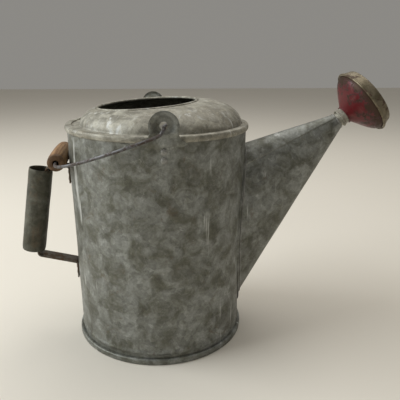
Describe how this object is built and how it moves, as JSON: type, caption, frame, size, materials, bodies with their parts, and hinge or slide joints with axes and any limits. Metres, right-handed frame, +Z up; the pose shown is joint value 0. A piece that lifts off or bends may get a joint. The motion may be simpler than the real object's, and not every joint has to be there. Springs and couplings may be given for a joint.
{
  "type": "watering can",
  "caption": "Round galvanised watering can with a domed top, filling mouth, funnel spout, pull-off sprinkler rose, fixed rear grip and a swinging wire bail with a wooden grip.",
  "frame": {"origin": "middle of the whole can's box along X and Y, on the plane that the foot ring stands on; the body's own axis is at x = -0.0582", "axes": "+X points towards the spout and is the can's long way, +Z is up, and the can is mirrored about the plane Y = 0"},
  "size_m": [0.4574, 0.2406, 0.3236],
  "materials": {
    "weathered_zinc": "dull spangled galvanising with white bloom and scratches",
    "pale_zinc": "chalky oxidised galvanising",
    "dark_zinc": "darkened hand-worn galvanising",
    "brown_strap": "rust-brown stained strip",
    "bail_steel": "drawn wire, lightly rusted",
    "turned_wood": "turned hardwood, worn",
    "worn_red_paint": "worn red enamel over tarnished metal",
    "tarnished_cap": "tarnished, brown-green",
    "rivet_zinc": "dull zinc"
  },
  "bodies": {
    "can": {"body_wall": "weathered_zinc", "base_plate": "weathered_zinc", "foot_ring": "weathered_zinc", "rim_hoop": "pale_zinc", "breast": "pale_zinc", "mouth_bead": "pale_zinc", "spout_cone": "weathered_zinc", "spout_nozzle": "pale_zinc", "ear_near": "weathered_zinc", "ear_far": "weathered_zinc", "handle_strap": "brown_strap", "handle_tube": "dark_zinc", "ear_rivet_near_1": "rivet_zinc", "ear_rivet_near_2": "rivet_zinc", "ear_rivet_far_1": "rivet_zinc", "ear_rivet_far_2": "rivet_zinc", "handle_rivet_upper_1": "rivet_zinc", "handle_rivet_upper_2": "rivet_zinc", "handle_rivet_lower_1": "rivet_zinc", "handle_rivet_lower_2": "rivet_zinc"},
    "bail": {"bail_wire": "bail_steel"},
    "grip": {"bail_grip": "turned_wood"},
    "rose": {"rose_socket": "pale_zinc", "rose_bell": "worn_red_paint", "rose_face": "tarnished_cap", "rose_crimp": "tarnished_cap"}
  },
  "joints": [
    {"name": "bail_swing", "type": "hinge", "parent": "can", "child": "bail", "pos_m": [-0.05819, 0, 0.2747], "axis": [0, 1, 0], "range_deg": [0, 210]},
    {"name": "grip_spin", "type": "hinge", "parent": "bail", "child": "grip", "pos_m": [-0.17409, 0, 0.2265], "axis": [0, 1, 0], "continuous": true},
    {"name": "rose_pull", "type": "slide", "parent": "can", "child": "rose", "axis": [0.7848, 0, 0.6198], "range_m": [0, 0.03]}
  ]
}
